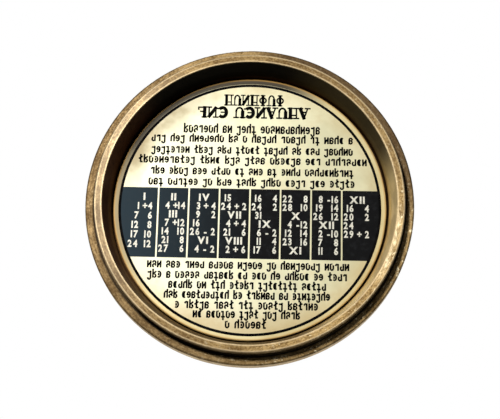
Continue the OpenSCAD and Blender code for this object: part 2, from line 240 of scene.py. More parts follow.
class Graph:
    """Shorthand for building the nodes of one material, or of the world."""

    def __init__(self, name, owners=bpy.data.materials, output="OutputMaterial"):
        self.owner = owners.new(name)
        self.owner.use_nodes = True
        self.tree = self.owner.node_tree
        self.tree.nodes.clear()
        self.output = self.node(output)
        place = self.node("TexCoord").outputs["Object"]
        self.at = self.node("VectorMath", {0: place, 3: 1 / MM}, operation="SCALE").outputs[0]
        axes = self.node("SeparateXYZ", {0: self.at})
        self.x, self.y, self.z = axes.outputs
        self.flat = self.vector(self.x, self.y, 0)
        self.r = self.node("VectorMath", {0: self.flat}, operation="LENGTH").outputs["Value"]

    def node(self, kind, inputs=None, **settings):
        """Adds a node; inputs gives values or links by socket."""
        node = self.tree.nodes.new("ShaderNode" + kind)
        for key, value in settings.items():
            setattr(node, key, value)
        for socket, value in (inputs or {}).items():
            if isinstance(value, bpy.types.NodeSocket):
                self.tree.links.new(value, node.inputs[socket])
            else:
                node.inputs[socket].default_value = value
        return node

    def vector(self, x, y, z):
        """Vector of three values or links."""
        return self.node("CombineXYZ", {0: x, 1: y, 2: z}).outputs[0]

    def math(self, operation, a, b=0.0):
        """Result of one arithmetic operation."""
        return self.node("Math", {0: a, 1: b}, operation=operation).outputs[0]

    def times(self, a, b):
        """Product of two values."""
        return self.math("MULTIPLY", a, b)

    def noise(self, scale, detail, roughness, at=None):
        """Noise from 0 to 1 with scale in cycles a millimetre."""
        place = self.at if at is None else at
        inputs = {"Vector": place, "Scale": scale, "Detail": detail, "Roughness": roughness}
        return self.node("TexNoise", inputs).outputs[0]

    def turned(self, around, across):
        """Coordinates that stretch a noise along the circles of a turned surface."""
        unit = self.node("VectorMath", {0: self.flat}, operation="NORMALIZE").outputs[0]
        wide = self.node("VectorMath", {0: unit, 3: around}, operation="SCALE").outputs[0]
        axes = self.node("SeparateXYZ", {0: wide})
        depth = self.times(self.math("SUBTRACT", self.r, self.z), across)
        return self.vector(axes.outputs[0], axes.outputs[1], depth)

    def toward(self, picture_deg):
        """1 on the side of the axis that a reader of the plate sees at this angle, -1 on the far side."""
        turn = math.radians(picture_deg)
        way = (-math.cos(turn), math.sin(turn), 0.0)
        side = self.node("VectorMath", {0: self.at, 1: way}, operation="DOT_PRODUCT")
        return self.math("DIVIDE", side.outputs["Value"], self.r)

    def ramp(self, value, low, high, out_low=0.0, out_high=1.0):
        """Smooth step of a value between two limits."""
        inputs = {0: value, 1: low, 2: high, 3: out_low, 4: out_high}
        return self.node("MapRange", inputs, interpolation_type="SMOOTHSTEP").outputs[0]

    def side(self, picture_deg, low, high, out_low=0.0, out_high=1.0):
        """Smooth step towards one side of the axis."""
        return self.ramp(self.toward(picture_deg), low, high, out_low, out_high)

    def near(self, value, centre, reach):
        """1 where a value is at the centre, falling to 0 at the reach."""
        return self.ramp(self.math("ABSOLUTE", self.math("SUBTRACT", value, centre)), 0.0, reach, 1.0, 0.0)

    def mix(self, factor, a, b):
        """Blend of two colours, each a link or an sRGB colour given from 0 to 255."""
        a, b = (linear(*colour) if isinstance(colour, tuple) else colour for colour in (a, b))
        return self.node("Mix", {0: factor, 6: a, 7: b}, data_type="RGBA").outputs[2]

    def bump(self, height, distance, strength=1.0, normal=None):
        """Surface normal for a height from 0 to 1 that stands for a distance in millimetres."""
        inputs = {"Height": height, "Distance": distance * MM, "Strength": strength}
        if normal is not None:
            inputs["Normal"] = normal
        return self.node("Bump", inputs).outputs[0]

    def soft_edges(self, radius):
        """Normal that rounds the edges of a piece by a small radius in millimetres."""
        return self.node("Bevel", {"Radius": radius * MM}, samples=4).outputs[0]

    def turned_shine(self, amount):
        """Looks of a surface with fine turning marks around the axis."""
        tangent = self.node("Tangent", direction_type="RADIAL", axis="Z").outputs[0]
        return {"Anisotropic": amount, "Anisotropic_Rotation": 0.25, "Tangent": tangent}

    def surface(self, **inputs):
        """Ends the material with a principled surface; names use _ for a space."""
        named = {key.replace("_", " "): value for key, value in inputs.items()}
        return self.end(self.node("BsdfPrincipled", named))

    def end(self, shader):
        """Ends the graph with a shader, and returns the material or the world."""
        self.tree.links.new(shader.outputs[0], self.output.inputs[0])
        return self.owner

    def end_blend(self, factor, first, second):
        """Ends the graph with a blend of two shaders."""
        return self.end(self.node("MixShader", {0: factor, 1: first.outputs[0], 2: second.outputs[0]}))


# Where the looks of the case and the plate change: heights above the resting plane, and radii
OUTSIDE_Z = (3.2, 3.7)
MOUTH_R = 33.3
ROOT_R = 35.5
BORDER_R = 30.0


def foot_ring_colour(g, tone, streaks):
    """Brown patina of the foot ring and the flange's underside, with painted highlights and painted shade by
    side.
    """
    worn = g.ramp(tone, 0.4, 0.6)
    flange = g.mix(worn, (112, 88, 50), (180, 152, 104))
    crest = g.mix(worn, (116, 88, 46), (196, 166, 112))
    colour = g.mix(g.ramp(g.z, 2.4, 1.2), flange, crest)
    pits = g.ramp(g.noise(2.6, 2, 0.5), 0.6, 0.72)
    colour = g.mix(g.times(pits, 0.5), colour, (70, 48, 26))

    # Painted highlights: glints and a glare streak painted into the colour, strongest towards one side.
    glints = g.ramp(g.noise(1.0, 2, 0.6, g.turned(34, 1.6)), 0.58, 0.72)
    glints = g.times(glints, g.side(-28, -0.2, 0.9, 0.15, 0.8))
    glare = g.times(g.side(-19, 0.95, 1.0), g.ramp(streaks, 0.42, 0.6, 0.15, 0.8))
    glare = g.times(glare, g.near(g.r, 34.0, 0.8))
    colour = g.mix(g.math("MAXIMUM", glints, glare), colour, (255, 240, 200))
    # Painted sheen: a paler tone painted on the crest's left side.
    painted_left_sheen = g.times(g.side(170, 0.4, 0.95), g.ramp(g.z, 2.6, 1.4, 0.0, 0.4))
    colour = g.mix(painted_left_sheen, colour, (196, 180, 156))

    # Painted shade: a darker tone painted on the sides that face away from the light.
    upper_right = g.times(g.side(42, 0.6, 0.9), g.ramp(g.z, 1.0, 3.0, 0.4, 0.8))
    lower_left = g.times(g.side(212, 0.3, 0.95), 0.5)
    top = g.times(g.side(95, 0.3, 0.9), g.ramp(g.z, 2.8, 1.5, 0.0, 0.3))
    left = g.times(g.side(165, 0.4, 0.9), g.ramp(g.z, 1.4, 2.6, 0.0, 0.5))
    painted_shade = g.math("MAXIMUM", g.math("MAXIMUM", upper_right, lower_left), g.math("MAXIMUM", top, left))
    return g.mix(painted_shade, colour, (70, 52, 34))


def outside_colour(g, tone):
    """Cleaner brass from the flange's edge up, browner in the hollow above the flange."""
    colour = g.mix(g.ramp(tone, 0.42, 0.6), (172, 140, 82), (222, 192, 132))
    return g.mix(g.times(g.near(g.z, 6.6, 1.2), 0.5), colour, (110, 82, 44))


def recess_wall_colour(g, patches):
    """Recess wall: brown at the foot, painted shade nearly black at the top, painted light bright at the
    right.
    """
    # Painted shade darkens the wall at the top, the upper right and the left; painted light brightens it at
    # the right.
    colour = g.mix(g.side(95, -0.5, 0.5), (104, 80, 46), (9, 6, 4))
    colour = g.mix(g.side(25, 0.6, 0.9), colour, (58, 48, 28))
    colour = g.mix(g.side(180, 0.6, 0.95), colour, (82, 48, 28))
    colour = g.mix(g.side(-24, 0.66, 0.95), colour, (232, 208, 158))
    # Mottle only within the painted light at the right.
    mottle = g.times(g.ramp(patches, 0.42, 0.62), g.side(-10, 0.7, 0.95, 0.0, 0.3))
    return g.mix(mottle, colour, (120, 98, 60))


def rubbed_and_soiled(g, colour, inside):
    """Adds rubbed edges on the foot ring, and painted shade in its root and at the foot of the recess wall.
    """
    outer_r, inner_r = 34.95, MOUTH_R + 0.25
    edges = g.math("MAXIMUM", g.near(g.r, outer_r, 0.3), g.near(g.r, inner_r, 0.32))
    edges = g.times(edges, g.ramp(g.z, 0.6, 0.3))
    colour = g.mix(g.times(edges, 0.6), colour, (236, 214, 172))
    # Painted shade in the root of the foot ring, where it meets the flange.
    root = g.times(g.near(g.r, ROOT_R, 0.6), g.ramp(g.z, 1.2, 2.7))
    root = g.times(root, g.ramp(g.z, 3.8, 3.4))
    colour = g.mix(root, colour, (26, 18, 11))
    # Painted shade at the foot of the recess wall.
    wall_foot = g.times(inside, g.ramp(g.z, 4.8, 5.6))
    return g.mix(wall_foot, colour, (44, 28, 15))


def case_brass():
    """Turned brass: brown, rubbed on the foot ring, painted light and shade in the recess, cleaner above the
    flange.
    """
    g = Graph("case_brass")
    patches = g.noise(0.14, 4, 0.6)
    streaks = g.noise(1.0, 3, 0.6, g.turned(24, 3.0))
    grain = g.noise(2.0, 3, 0.65)
    tone = g.math("ADD", g.times(streaks, 0.3), g.times(patches, 0.35))
    tone = g.math("ADD", tone, g.times(grain, 0.35))
    outside = g.ramp(g.z, *OUTSIDE_Z)
    inside = g.times(g.ramp(g.r, MOUTH_R + 0.12, MOUTH_R), g.ramp(g.z, 8.0, 7.0))

    colour = g.mix(outside, foot_ring_colour(g, tone, streaks), outside_colour(g, tone))
    colour = g.mix(inside, colour, recess_wall_colour(g, patches))
    colour = rubbed_and_soiled(g, colour, inside)

    normal = g.bump(g.noise(1.0, 2, 0.5, g.turned(2.5, 9)), 0.02, 0.5)
    normal = g.bump(grain, 0.03, g.math("SUBTRACT", 0.5, g.times(outside, 0.3)), normal)
    roughness = g.ramp(tone, 0.3, 0.7, 0.6, 0.46)
    return g.surface(
        Base_Color=colour,
        Metallic=g.ramp(g.z, *OUTSIDE_Z, 0.65, 0.95),
        Roughness=g.math("SUBTRACT", roughness, g.times(outside, 0.16)),
        Specular_IOR_Level=0.2,
        Normal=normal,
        **g.turned_shine(0.5),
    )


def plate_field_colour(g, patches):
    """Pale greenish gold inside the circle, stained towards it, with a blotchy painted shadow at the upper
    left.
    """
    stain = g.ramp(g.noise(0.21, 4, 0.65), 0.5, 0.7)
    west = g.ramp(g.x, -26.0, 26.0)
    dark = g.mix(west, (208, 204, 168), (234, 232, 202))
    light = g.mix(west, (222, 218, 182), (240, 238, 212))
    colour = g.mix(g.ramp(patches, 0.35, 0.62), dark, light)
    colour = g.mix(g.times(stain, 0.3), colour, (204, 184, 138))
    near_border = g.times(g.ramp(g.r, 25.0, 30.5), g.ramp(patches, 0.3, 0.6, 0.7, 0.3))
    colour = g.mix(near_border, colour, (200, 178, 128))
    # Painted shadow of the rim, blotchy, inside the circle at the upper left.
    painted_rim_shadow = g.times(g.side(140, 0.75, 0.98), g.ramp(g.r, 24.0, 29.0))
    painted_rim_shadow = g.times(painted_rim_shadow, g.ramp(patches, 0.35, 0.6, 0.76, 0.4))
    colour = g.mix(painted_rim_shadow, colour, (132, 116, 84))
    foot_side = g.times(g.side(268, 0.75, 1.0), g.ramp(g.r, 22.0, 29.0, 0.0, 0.5))
    return g.mix(foot_side, colour, (184, 158, 104))


def plate_border_colour(g, patches):
    """Bare brass outside the circle, with painted shadow at the top and at the left, and redder at its lip.
    """
    colour = g.mix(patches, (186, 164, 106), (236, 226, 180))
    # Painted shadow of the rim on the border at the top and at the left.
    top = g.times(g.side(112, 0.4, 0.82), 0.96)
    left = g.times(g.side(172, 0.55, 0.98), 0.85)
    painted_border_shadow = g.mix(top, (120, 102, 72), (24, 15, 8))
    colour = g.mix(g.math("MAXIMUM", top, left), colour, painted_border_shadow)
    return g.mix(g.times(g.ramp(g.r, 30.8, 31.3), 0.7), colour, (186, 142, 68))


def plate_brass():
    """Etched plate: a pale greenish gold that yellows and browns towards its border."""
    g = Graph("plate_brass")
    patches = g.noise(0.11, 4, 0.6)
    bare = g.ramp(g.r, BORDER_R, BORDER_R + 0.2)
    colour = g.mix(bare, plate_field_colour(g, patches), plate_border_colour(g, patches))
    normal = g.bump(g.noise(3.0, 2, 0.5), 0.01, 0.4)
    return g.surface(Base_Color=colour, Metallic=0.3, Roughness=0.5, Specular_IOR_Level=0.3, Normal=normal)


def table_enamel():
    """Black stoving enamel of the table, with a painted bluish sheen towards one side."""
    g = Graph("table_enamel")
    # Painted sheen: bluish towards one side, near black towards the other.
    side = g.ramp(g.x, 34.0, -4.0)
    wear = g.ramp(g.noise(0.9, 4, 0.6), 0.45, 0.75)
    colour = g.mix(side, (44, 60, 70), (9, 10, 13))
    colour = g.mix(g.times(wear, 0.16), colour, (58, 62, 66))
    normal = g.bump(g.noise(2.0, 2, 0.5), 0.006, 0.5)
    return g.surface(Base_Color=colour, Roughness=0.6, Specular_IOR_Level=0.08, Normal=normal)


def dial_brass():
    """Silvered dial metal, turned in fine circles and a little yellowed."""
    g = Graph("dial_brass")
    patches = g.noise(0.12, 4, 0.6)
    streaks = g.noise(1.0, 3, 0.6, g.turned(6, 7))
    stain = g.ramp(g.noise(0.5, 4, 0.65), 0.55, 0.78)
    colour = g.mix(g.ramp(patches, 0.35, 0.65), (216, 200, 158), (240, 230, 200))
    colour = g.mix(g.times(stain, 0.4), colour, (160, 130, 84))
    normal = g.bump(streaks, 0.008, 0.5, g.soft_edges(0.08))
    return g.surface(
        Base_Color=colour,
        Metallic=0.85,
        Roughness=g.ramp(streaks, 0.3, 0.7, 0.42, 0.3),
        Normal=normal,
        **g.turned_shine(0.4),
    )


def fitting_brass():
    """Filed and handled brass of the small fittings."""
    g = Graph("fitting_brass")
    patches = g.noise(0.35, 4, 0.6)
    grain = g.noise(2.4, 3, 0.6)
    colour = g.mix(g.ramp(patches, 0.35, 0.65), (176, 136, 74), (228, 192, 124))
    pits = g.ramp(grain, 0.6, 0.75)
    colour = g.mix(g.times(pits, 0.5), colour, (84, 58, 30))
    normal = g.bump(grain, 0.012, 0.5, g.soft_edges(0.1))
    roughness = g.ramp(patches, 0.3, 0.7, 0.4, 0.27)
    return g.surface(Base_Color=colour, Metallic=1.0, Roughness=roughness, Normal=normal)


def steel():
    """Bright steel of pins, rivets and screws."""
    g = Graph("steel")
    grain = g.noise(3.0, 3, 0.6)
    colour = g.mix(g.ramp(grain, 0.35, 0.7), (150, 152, 156), (206, 207, 208))
    normal = g.bump(grain, 0.008, 0.5, g.soft_edges(0.06))
    return g.surface(Base_Color=colour, Metallic=1.0, Roughness=0.3, Normal=normal)


def needle_steel():
    """Needle: its north arm is heat-blued and its south arm is left bright."""
    g = Graph("needle_steel")
    grain = g.noise(3.0, 3, 0.6)
    north = g.ramp(g.y, -0.2, 0.2)
    blued = g.mix(grain, (18, 34, 92), (44, 70, 150))
    bright = g.mix(grain, (176, 178, 180), (222, 222, 220))
    normal = g.bump(grain, 0.006, 0.5, g.soft_edges(0.08))
    return g.surface(Base_Color=g.mix(north, bright, blued), Metallic=1.0, Roughness=0.28, Normal=normal)


def card_paper():
    """Printed card of the compass, aged to ivory."""
    g = Graph("card_paper")
    fibres = g.noise(1.6, 4, 0.65)
    stain = g.ramp(g.noise(0.16, 3, 0.6), 0.45, 0.75)
    colour = g.mix(fibres, (236, 228, 204), (248, 243, 226))
    colour = g.mix(g.times(stain, 0.4), colour, (222, 204, 160))
    return g.surface(Base_Color=colour, Roughness=0.8, Normal=g.bump(fibres, 0.01, 0.5))


def glass():
    """Clear flat glass: a reflection over what lies beneath, with faint wipe marks."""
    g = Graph("glass")
    wipe = g.noise(0.3, 4, 0.6)
    fresnel = g.node("Fresnel", {"IOR": 1.5}).outputs[0]
    is_front = g.math("SUBTRACT", 1.0, g.node("NewGeometry").outputs["Backfacing"])
    reflected = g.times(fresnel, is_front)
    shine = g.node("BsdfGlossy", {"Color": (1, 1, 1, 1), "Roughness": g.ramp(wipe, 0.3, 0.8, 0.02, 0.09)})
    clear = g.node("BsdfTransparent", {"Color": (0.97, 0.99, 0.98, 1)})
    return g.end_blend(reflected, clear, shine)


def blended(name, noise, first, second, limits=None, **looks):
    """Plain material: two colours, given from 0 to 255, blended by a noise or by a smooth step of it."""
    g = Graph(name)
    share = g.noise(*noise)
    if limits:
        share = g.ramp(share, *limits)
    return g.surface(Base_Color=g.mix(share, first, second), **looks)


def card_ink(name, colour):
    """Printing ink, worn thin in places."""
    return blended(name, (2.2, 3, 0.6), colour, (150, 140, 120), (0.55, 0.8, 0.0, 0.4), Roughness=0.6)


ENAMEL_LOOKS = {"Roughness": 0.75, "Specular_IOR_Level": 0.06}
METAL_LOOKS = {"Metallic": 0.2, "Roughness": 0.5}
ENAMEL = blended("black_enamel", (0.9, 4, 0.6), (4, 4, 5), (24, 22, 22), (0.45, 0.75), **ENAMEL_LOOKS)
FIGURES = blended("figure_metal", (2.5, 3, 0.6), (198, 196, 182), (236, 234, 222), (0.3, 0.7), **METAL_LOOKS)
TABLE_ENAMEL = table_enamel()
FITTING = fitting_brass()
DIAL = dial_brass()
INK = card_ink("card_ink", (24, 24, 28))
RED_INK = card_ink("red_ink", (150, 32, 28))

CAD_MATERIALS = {
    "case_brass": case_brass(),
    "plate_brass": plate_brass(),
    "dial_brass": DIAL,
    "fitting_brass": FITTING,
    "steel": steel(),
    "blued_steel": needle_steel(),
    "jewel": blended("jewel", (1.2, 2, 0.5), (120, 8, 20), (190, 24, 40), Roughness=0.08, Coat_Weight=0.5),
    "card_paper": card_paper(),
    "adhesive": blended("adhesive", (0.8, 3, 0.6), (120, 92, 48), (164, 132, 78), Roughness=0.6),
    "gasket": blended("gasket_rubber", (2.0, 3, 0.6), (34, 34, 34), (62, 61, 58), Roughness=0.7),
    "glass": glass(),
}


def paint_cad_nodes():
    """Gives every CAD node the material of its slot."""
    for node in frame["nodes"].values():
        for index, material in enumerate(node.data.materials):
            node.data.materials[index] = CAD_MATERIALS[material.name.split(".")[0]]


# ---- plate underneath

# The circle around the plate is a little off its centre, and the layout a little turned
LINE_R = 29.91
LINE_W = 0.62
LINE_CENTRE = (0.0, -0.18)
LAYOUT_TURN = math.radians(-1.3)

# Thickness of the enamel, and how far it stands out of the plate
ENAMEL_DEPTH = 0.06
ENAMEL_PROUD = 0.02


def on_plate(u, v, height):
    """Point on the plate's face: u runs to the reader's right, v up, and height out of the plate."""
    cos, sin = math.cos(LAYOUT_TURN), math.sin(LAYOUT_TURN)
    return (-(u * cos - v * sin), u * sin + v * cos, PLATE_FACE + ENAMEL_DEPTH - ENAMEL_PROUD - height)


# Invented marks that only give the rhythm of engraved rows. Each is a list of lines in a cell 1 wide and
# 1 high from its foot; an arc is (centre x, centre y, radius x, radius y, start, end).
MARKS = [
    [(0.5, 0.5, 0.4, 0.46, -130, 180), [(0.1, 0.5), (0.9, 0.5)]],
    [[(0.12, 0), (0.12, 0.7)], (0.5, 0.7, 0.38, 0.28, 0, 180), (0.5, 0.28, 0.36, 0.28, -180, 150)],
    [(0.5, 0.35, 0.37, 0.35, 180, 360), [(0.13, 0.35), (0.13, 1), (0.5, 1)],
     [(0.87, 0.3), (0.87, 0.75)]],
    [[(0.5, -0.35), (0.5, 0.95)], [(0.1, 0.12), (0.9, 0.12)], [(0.1, 0.95), (0.5, 0.95)]],
    [[(0.87, 0), (0.87, 1)], (0.5, 0.3, 0.37, 0.3, 120, 330)],
    [[(0.12, 0), (0.12, 1.32)], [(0.12, 0.5), (0.88, 0.95)], (0.5, 0.25, 0.36, 0.25, -90, 60)],
    [[(0.12, 0), (0.12, 1)], [(0.88, 0), (0.88, 1)], [(0.12, 0.15), (0.88, 0.85)]],
    [(0.5, 0.74, 0.38, 0.27, -60, 170), (0.5, 0.25, 0.38, 0.26, 10, 240)],
    [(0.4, 0.5, 0.45, 0.47, -120, 120), [(0.3, 0.38), (0.3, 0.62)]],
    [[(0.88, 0), (0.88, 1.32)], (0.5, 0.6, 0.38, 0.38, 0, 180), [(0.12, 0), (0.12, 0.6)]],
    [[(0.8, 1), (0.8, -0.1)], (0.45, -0.1, 0.35, 0.24, 180, 360), [(0.12, 0.85), (0.8, 0.85)]],
    [[(0.8, 0), (0.8, 1)], (0.5, 0.68, 0.32, 0.3, 20, 160)],
    [(0.55, 0.5, 0.42, 0.47, 60, 300), [(0.55, 0.25), (0.55, 0.75)]],
    [[(0.5, 0.05), (0.5, 1.3)], [(0.1, 0.62), (0.9, 0.98)], [(0.5, 0.05), (0.9, 0.05)]],
]

# Rows of marks: height of the foot, half length, centre, height of a mark and the marks in each group
FIRST_ROW_H = 1.62
ROW_H = 1.4
UPPER_ROWS = [
    (17.9, 16.0, 0.1, FIRST_ROW_H, (7, 2, 4, 12)),
    (15.6, 23.6, 0.2, ROW_H, (3, 3, 7, 2, 1, 5, 5, 2, 4, 1)),
    (12.8, 23.5, 0.25, ROW_H, (8, 4, 3, 5, 5, 2, 3, 6)),
    (10.3, 26.6, 0.4, ROW_H, (11, 4, 3, 4, 6, 3, 8)),
    (7.6, 23.6, 0.35, ROW_H, (3, 4, 3, 4, 2, 3, 2, 4, 10)),
    (4.95, 23.9, 0.3, ROW_H, (3, 6, 2, 3, 4, 4, 4, 3, 5)),
]
LOWER_ROWS = [
    (-14.8, 23.0, -0.05, ROW_H, (3, 3, 4, 5, 5, 2, 8, 5)),
    (-17.2, 22.7, -0.2, ROW_H, (3, 1, 5, 6, 2, 3, 2, 5, 2, 4)),
    (-19.5, 17.9, -0.15, ROW_H, (5, 2, 3, 5, 8, 5)),
    (-21.8, 18.8, -0.15, ROW_H, (3, 10, 2, 6, 2, 8)),
    (-24.1, 16.2, -0.2, ROW_H, (1, 5, 4, 3, 5, 6)),
    (-26.2, 12.1, -0.15, ROW_H, (2, 6, 4, 3, 4)),
    (-28.5, 4.7, -0.3, ROW_H, (1, 6)),
]


def cells(rows, gap):
    """Left edge, foot, width and height of each mark's cell. The cells fill a row evenly, with a gap between
    groups that is given in widths of a cell."""
    for foot, half, centre, height, groups in rows:
        pitch = 2 * half / (sum(groups) + gap * (len(groups) - 1))
        left = centre - half
        for count in groups:
            for _ in range(count):
                yield left, foot, pitch, height
                left += pitch
            left += gap * pitch


def draw_rows(inlay, rows, gap, marks, draw, draw_mark):
    """Fills rows with marks drawn by chance, none of them twice running."""
    last = None
    for left, foot, pitch, height in cells(rows, gap):
        last = draw.choice([mark for mark in marks if mark is not last])
        draw_mark(inlay, last, left, foot, pitch, height)


def draw_small_mark(inlay, mark, left, foot, pitch, height):
    """Draws one small mark in its cell, with a space at each side."""
    left += 0.1 * pitch
    width = 0.76 * pitch
    line_w = 0.4
    for line in mark:
        if isinstance(line, tuple):
            line = arc(line[0:2], line[2:4], line[4], line[5], 8)
        inlay.stroke([(left + x * width, foot + y * height) for x, y in line], line_w)


def engraved_rows():
    """Rows of small marks above and below the table."""
    inlay = Inlay(on_plate, ENAMEL_DEPTH)
    draw_rows(inlay, UPPER_ROWS + LOWER_ROWS, 0.8, MARKS, random.Random(7), draw_small_mark)
    inlay.piece("engraved_rows", "case", "plate_brass", ENAMEL)


# Invented title marks in cells like those above. A stroke is a kind and its place: a stem or a hair has its
# x and sometimes its top, a foot has its point, and the others are straight lines or arcs.
TITLE_MARKS = [
    [("thick_arc", 0.42, 0.5, 0.42, 0.46, -125, 125), ("foot", 0.12, 0.86), ("thin", 0.25, 0.5, 0.6, 0.5)],
    [("stem", 0.2), ("hair", 0.85), ("thin", 0.2, 0.3, 0.85, 0.3), ("foot", 0.2, 0), ("foot", 0.2, 1),
     ("foot", 0.85, 0), ("foot", 0.85, 1)],
    [("thick", 0.1, 1, 0.52, 0), ("thin", 0.52, 0, 0.9, 1), ("thin", 0.3, 0.62, 0.75, 0.62),
     ("foot", 0.1, 1), ("foot", 0.9, 1)],
    [("stem", 0.5), ("thin_arc", 0.5, 0.5, 0.42, 0.27, 0, 360), ("foot", 0.5, 0), ("foot", 0.5, 1)],
    [("hair", 0.12), ("thick", 0.12, 0.05, 0.85, 0.95), ("hair", 0.85), ("foot", 0.12, 1),
     ("foot", 0.85, 0)],
    [("thin_arc", 0.5, 0.6, 0.35, 0.38, 0, 180), ("hair", 0.15, 0.6), ("stem", 0.85, 0.6),
     ("foot", 0.15, 0), ("foot", 0.85, 0)],
    [("stem", 0.8), ("thin", 0.15, 0.97, 0.8, 0.97), ("thin", 0.35, 0.55, 0.8, 0.55), ("foot", 0.8, 0),
     ("thin", 0.15, 0.97, 0.15, 0.75)],
]
TITLE_H = 2.5
TITLE_ROWS = [
    (24.8, 7.05, 0.55, TITLE_H, (7,)),
    (21.7, 13.25, 0.25, TITLE_H, (3, 7)),
]


def draw_title_mark(inlay, mark, left, foot, pitch, height):
    """Draws one title mark from its strokes, whose widths are shares of the mark's width."""
    left += 0.06 * pitch
    width = 0.86 * pitch
    foot_w = 0.54 * width
    line_w = {"thick": 0.38, "stem": 0.38, "thick_arc": 0.38, "thin_arc": 0.221}

    def at(x, y):
        return (left + x * width, foot + y * height)

    for kind, *spec in mark:
        if kind == "foot":
            x, y = at(*spec)
            points = [(x - foot_w / 2, y), (x + foot_w / 2, y)]
        elif kind in ("stem", "hair"):
            points = [at(spec[0], 0), at(spec[0], spec[1] if len(spec) > 1 else 1)]
        elif kind in ("thick", "thin"):
            points = [at(*spec[0:2]), at(*spec[2:4])]
        else:
            points = [at(x, y) for x, y in arc(spec[0:2], tuple(spec[2:4]), spec[4], spec[5], 16)]
        inlay.stroke(points, line_w.get(kind, 0.17) * width)


def engraved_title():
    """Two rows of larger marks at the top of the plate."""
    inlay = Inlay(on_plate, ENAMEL_DEPTH)
    draw_rows(inlay, TITLE_ROWS, 0.5, TITLE_MARKS, random.Random(3), draw_title_mark)
    inlay.piece("engraved_title", "case", "plate_brass", ENAMEL)


BAND_TOP = 4.13
BAND_FOOT = -12.5
COLUMN_W = 7.04
COLUMN_SHIFT = 0.03
COLUMNS = 8
SEPARATOR_W = 0.36
FIGURE_H = 1.55
FIRST_FIGURE_FOOT = 1.15

# Lines in a column and the distance between them; the first column holds fewer, further apart
FIRST_COLUMN = (6, 2.26)
OTHER_COLUMN = (7, 2.05)


def column_edges():
    """Places of the lines between the table's columns."""
    return [COLUMN_SHIFT + COLUMN_W * (i - (COLUMNS - 2) / 2) for i in range(COLUMNS - 1)]


def circle_line():
    """Line around the plate."""
    inlay = Inlay(on_plate, ENAMEL_DEPTH + 0.01)
    inlay.ring(LINE_CENTRE, LINE_R, LINE_W, 360)
    inlay.piece("circle_line", "case", "plate_brass", ENAMEL)


def table_band():
    """Enamel cells of the table. The outer ones end under the circle."""
    inlay = Inlay(on_plate, ENAMEL_DEPTH)
    field_r = LINE_R - LINE_W / 4
    edges = [-field_r] + column_edges() + [field_r]
    steps = 24
    for left, right in zip(edges, edges[1:]):
        low = left + (SEPARATOR_W / 2 if left > -field_r else 0.0)
        high = right - (SEPARATOR_W / 2 if right < field_r else 0.0)
        across = [low + (high - low) * i / steps for i in range(steps + 1)]
        limit = [math.sqrt(max(field_r**2 - u**2, 0.0)) for u in across]
        top = [(u, min(BAND_TOP, LINE_CENTRE[1] + m)) for u, m in zip(across, limit)]
        foot = [(u, max(BAND_FOOT, LINE_CENTRE[1] - m)) for u, m in zip(across, limit)]
        inlay.strip(top, foot)
    inlay.piece("table_enamel", "case", "plate_brass", TABLE_ENAMEL)


def clock_ahead(day):
    """Minutes by which a clock is ahead of the dial on a day of the year (the equation of time)."""
    spring_equinox = 81
    turn = math.radians(360 / 365 * (day - spring_equinox))
    return -(9.87 * math.sin(2 * turn) - 7.53 * math.cos(turn) - 1.5 * math.sin(turn))


def month_entries(first_day, days):
    """Days of a month on which the clock's lead passes an even number of minutes, as (day, sign, minutes).
    The sign is given only where it changes. The year's first day always counts."""
    entries = []
    sign = ""
    for day in range(1, days + 1):
        day_of_year = first_day + day - 1
        before, now = clock_ahead(max(day_of_year - 1, 1)), clock_ahead(day_of_year)
        even = 2 * math.ceil(min(now, before) / 2)
        repeats = bool(entries) and entries[-1][2] == str(abs(even))
        if (even <= max(now, before) or day_of_year == 1) and not repeats:
            new_sign = "+" if even > 0 else "-"
            shown = new_sign if even and new_sign != sign else ""
            entries.append((str(day), shown, str(abs(even)) if even else ""))
            sign = new_sign if even else ""
    return entries


def table_lines():
    """Lines of the table: a month's numeral, then its entries. A month without entries is left out."""
    month_days = [31, 28, 31, 30, 31, 30, 31, 31, 30, 31, 30, 31]
    numerals = ["I", "II", "III", "IV", "V", "VI", "VII", "VIII", "IX", "X", "XI", "XII"]
    lines = []
    for index, numeral in enumerate(numerals):
        entries = month_entries(1 + sum(month_days[:index]), month_days[index])
        if entries:
            lines += [(numeral,)] + entries
    return lines


def table_columns():
    """Lines of the table by column. The last column starts with its month's numeral again."""
    lines = table_lines()
    columns = []
    for index in range(COLUMNS):
        count = (OTHER_COLUMN if index else FIRST_COLUMN)[0]
        columns.append(lines[:count])
        lines = lines[count:]
    months = [line for column in columns[:-1] for line in column if len(line) == 1]
    columns[-1].insert(0, months[-1])
    return columns


def write_line(inlay, line, right, foot, set_in):
    """Writes one line of the table in the column that ends at right."""
    if len(line) == 1:
        centre = right - COLUMN_W / 2 + 0.6 * set_in
        write_number(inlay, line[0], (centre, foot), FIGURE_H, narrow=1.0, weight=0.045)
        return
    day, sign, minutes = line
    day_end, sign_centre, minutes_end = right - 4.35, right - 3.0, right - 0.8 - set_in
    for text, end in ((day, day_end), (minutes, minutes_end)):
        write_number(inlay, text, (end, foot), FIGURE_H, align=1, narrow=0.82, weight=0.035)
    if sign:
        write_number(inlay, sign, (sign_centre, foot), FIGURE_H, narrow=0.9, weight=0.03)


def table_figures():
    """Figures of the table, standing in the enamel. Those of the first column are set in from the circle."""
    inlay = Inlay(on_plate, ENAMEL_DEPTH + 0.02)
    first_right = column_edges()[0]
    for index, column in enumerate(table_columns()):
        pitch = (OTHER_COLUMN if index else FIRST_COLUMN)[1]
        right = first_right + COLUMN_W * index
        for row, line in enumerate(column):
            foot = FIRST_FIGURE_FOOT - pitch * row
            write_line(inlay, line, right, foot, 0.0 if index else 0.5)
    inlay.piece("table_figures", "case", "plate_brass", FIGURES)


# ---- hour ring


LATITUDE = 50.0


def on_ring(u, v, height):
    """Point on the hour ring's top, where the enamel's foot is sunk in."""
    return (u, v, RING_TOP - 0.05 + height)


